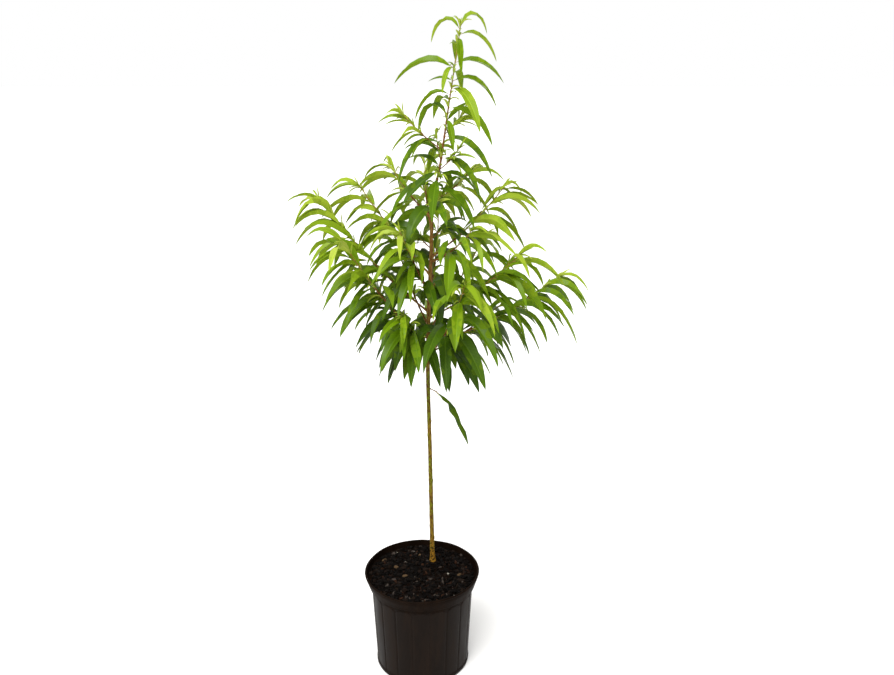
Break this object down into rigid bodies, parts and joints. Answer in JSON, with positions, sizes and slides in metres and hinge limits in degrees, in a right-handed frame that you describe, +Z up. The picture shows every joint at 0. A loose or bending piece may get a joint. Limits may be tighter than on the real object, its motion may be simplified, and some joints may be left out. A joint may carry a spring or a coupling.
{
  "type": "dwarf peach tree in a nursery pot",
  "caption": "Young dwarf peach tree: a slim straight trunk and a loose crown of long arching leaves, in a round black nursery pot.",
  "frame": {"origin": "centre of the pot's flat underside, on the ground", "axes": "+Z up the trunk, -Y towards the viewer of the picture, +X to the viewer's right"},
  "size_m": [0.675, 0.536, 1.5366],
  "materials": {
    "pot_plastic": "moulded black plastic with a soft sheen",
    "potting_mix": "damp composted bark with chips and white perlite",
    "trunk_bark": "smooth olive bark with brown flecks",
    "bough_bark": "smooth reddish brown bark",
    "leaves": "satin mid green leaves",
    "old_leaves": "satin dark green leaves",
    "young_leaves": "satin yellow green leaves"
  },
  "bodies": {
    "root": {"pot": "pot_plastic", "potting_mix": "potting_mix", "trunk": "trunk_bark", "bough_left_long": "bough_bark", "bough_left_upper": "bough_bark", "bough_left_high": "bough_bark", "bough_left_front": "bough_bark", "bough_left_low": "bough_bark", "bough_front_left": "bough_bark", "bough_right_upper": "bough_bark", "bough_right_high": "bough_bark", "bough_right_mid": "bough_bark", "bough_right_long": "bough_bark", "bough_right_inner": "bough_bark", "bough_right_low": "bough_bark", "bough_front_right": "bough_bark", "bough_front_low": "bough_bark", "bough_back_left": "bough_bark", "bough_back_mid": "bough_bark", "bough_back_right": "bough_bark", "bough_back_low": "bough_bark", "bough_back_high": "bough_bark", "foliage_leader": "young_leaves", "foliage_left_long": "leaves", "foliage_left_upper": "leaves", "foliage_left_high": "leaves", "foliage_left_front": "leaves", "foliage_left_low": "leaves", "foliage_front_left": "leaves", "foliage_right_upper": "leaves", "foliage_right_high": "leaves", "foliage_right_mid": "leaves", "foliage_right_long": "leaves", "foliage_right_inner": "leaves", "foliage_right_low": "leaves", "foliage_front_right": "leaves", "foliage_front_low": "leaves", "foliage_back_left": "leaves", "foliage_back_mid": "leaves", "foliage_back_right": "leaves", "foliage_back_low": "leaves", "foliage_back_high": "leaves", "foliage_spur_front": "old_leaves", "foliage_spur_right": "old_leaves", "foliage_spur_left": "old_leaves", "foliage_spur_back": "old_leaves", "foliage_spur_low_left": "old_leaves", "foliage_spur_low_front": "old_leaves", "foliage_skirt_left": "old_leaves", "foliage_skirt_right": "old_leaves", "foliage_skirt_back": "old_leaves", "foliage_low_leaf": "old_leaves"}
  },
  "joints": []
}
